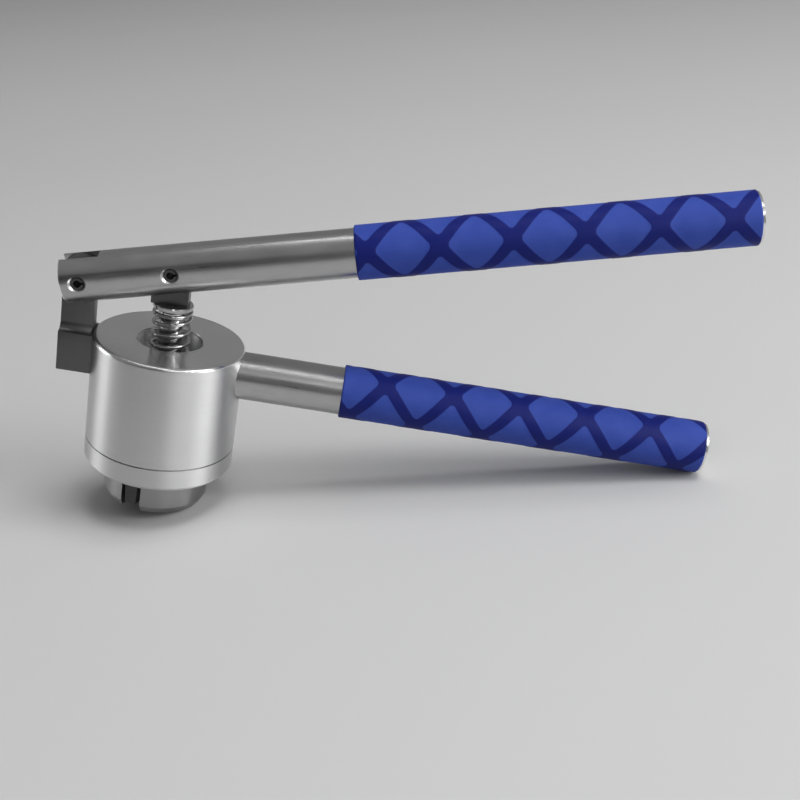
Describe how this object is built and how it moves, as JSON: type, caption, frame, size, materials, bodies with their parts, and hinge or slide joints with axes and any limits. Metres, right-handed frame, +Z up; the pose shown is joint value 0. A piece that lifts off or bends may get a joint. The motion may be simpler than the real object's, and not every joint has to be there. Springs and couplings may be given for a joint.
{
  "type": "vial crimper",
  "caption": "Hand crimper for vial caps: steel head with jaws below, a lever hinged over a plunger, and two long handles with blue grips.",
  "frame": {"origin": "middle of the box that holds the tool as it lies on a table, at the table", "axes": "+Z up from the table, +X towards the ends of the handles, +Y across the tool; the head's own axis leans towards the handles"},
  "size_m": [0.2312, 0.05, 0.0982],
  "materials": {
    "polished_steel": "mirror polished stainless steel",
    "brushed_tube": "stainless tube, drawn and polished lengthwise",
    "satin_steel": "machined stainless steel, satin",
    "hardened_pin": "plain hardened steel",
    "spring_wire": "drawn stainless spring wire",
    "bush_bronze": "turned bronze",
    "blue_grip": "satin royal blue sleeve with a crossed diamond pattern",
    "black_rubber": "matte black rubber"
  },
  "bodies": {
    "head": {"housing": "polished_steel", "end_ring": "polished_steel", "jaw_pins": "hardened_pin", "jaw_band": "black_rubber", "jaw_spacers": "black_rubber", "anvil_cup": "satin_steel", "anvil_pad": "satin_steel", "anvil_screw": "hardened_pin", "guide_bush": "bush_bronze", "return_spring": "spring_wire", "bracket": "satin_steel", "bracket_screw": "hardened_pin", "handle_tube": "brushed_tube", "handle_insert": "hardened_pin", "handle_stud": "hardened_pin", "handle_grip": "blue_grip", "handle_plug": "polished_steel"},
    "lever": {"lever_tube": "brushed_tube", "lever_grip": "blue_grip", "lever_plug": "polished_steel", "hinge_pin": "hardened_pin", "plunger_pin": "hardened_pin"},
    "plunger": {"plunger": "satin_steel", "spring_collar": "satin_steel", "spreader_cone": "satin_steel", "cone_nut": "hardened_pin"},
    "jaw_1": {"jaw_1": "satin_steel"},
    "jaw_2": {"jaw_2": "satin_steel"},
    "jaw_3": {"jaw_3": "satin_steel"}
  },
  "joints": [
    {"name": "lever_pivot", "type": "hinge", "parent": "head", "child": "lever", "pos_m": [-0.10323, 0, 0.08243], "axis": [0, 1, 0], "range_deg": [0, 15], "stiffness_Nm_per_rad": 2.7, "springref_deg": -8.59},
    {"name": "plunger_slide", "type": "slide", "parent": "head", "child": "plunger", "axis": [-0.2285, 0, -0.9735], "range_m": [0, 0.00777], "deforming": ["return_spring"]},
    {"name": "jaw_1_hinge", "type": "hinge", "parent": "head", "child": "jaw_1", "pos_m": [-0.07923, 0.01791, 0.02564], "axis": [-0.9177, 0.3338, 0.2154], "range_deg": [0, 4.5]},
    {"name": "jaw_2_hinge", "type": "hinge", "parent": "head", "child": "jaw_2", "pos_m": [-0.10359, -0.00346, 0.03136], "axis": [0.1774, -0.9833, -0.0416], "range_deg": [0, 4.5]},
    {"name": "jaw_3_hinge", "type": "hinge", "parent": "head", "child": "jaw_3", "pos_m": [-0.07339, -0.01445, 0.02427], "axis": [0.7403, 0.6494, -0.1738], "range_deg": [0, 4.5]}
  ],
  "couplings": [
    {"joint": "plunger_slide", "follows": "lever_pivot", "m_per_rad": 0.029659},
    {"joint": "jaw_1_hinge", "follows": "lever_pivot", "ratio": 0.3},
    {"joint": "jaw_2_hinge", "follows": "lever_pivot", "ratio": 0.3},
    {"joint": "jaw_3_hinge", "follows": "lever_pivot", "ratio": 0.3}
  ]
}
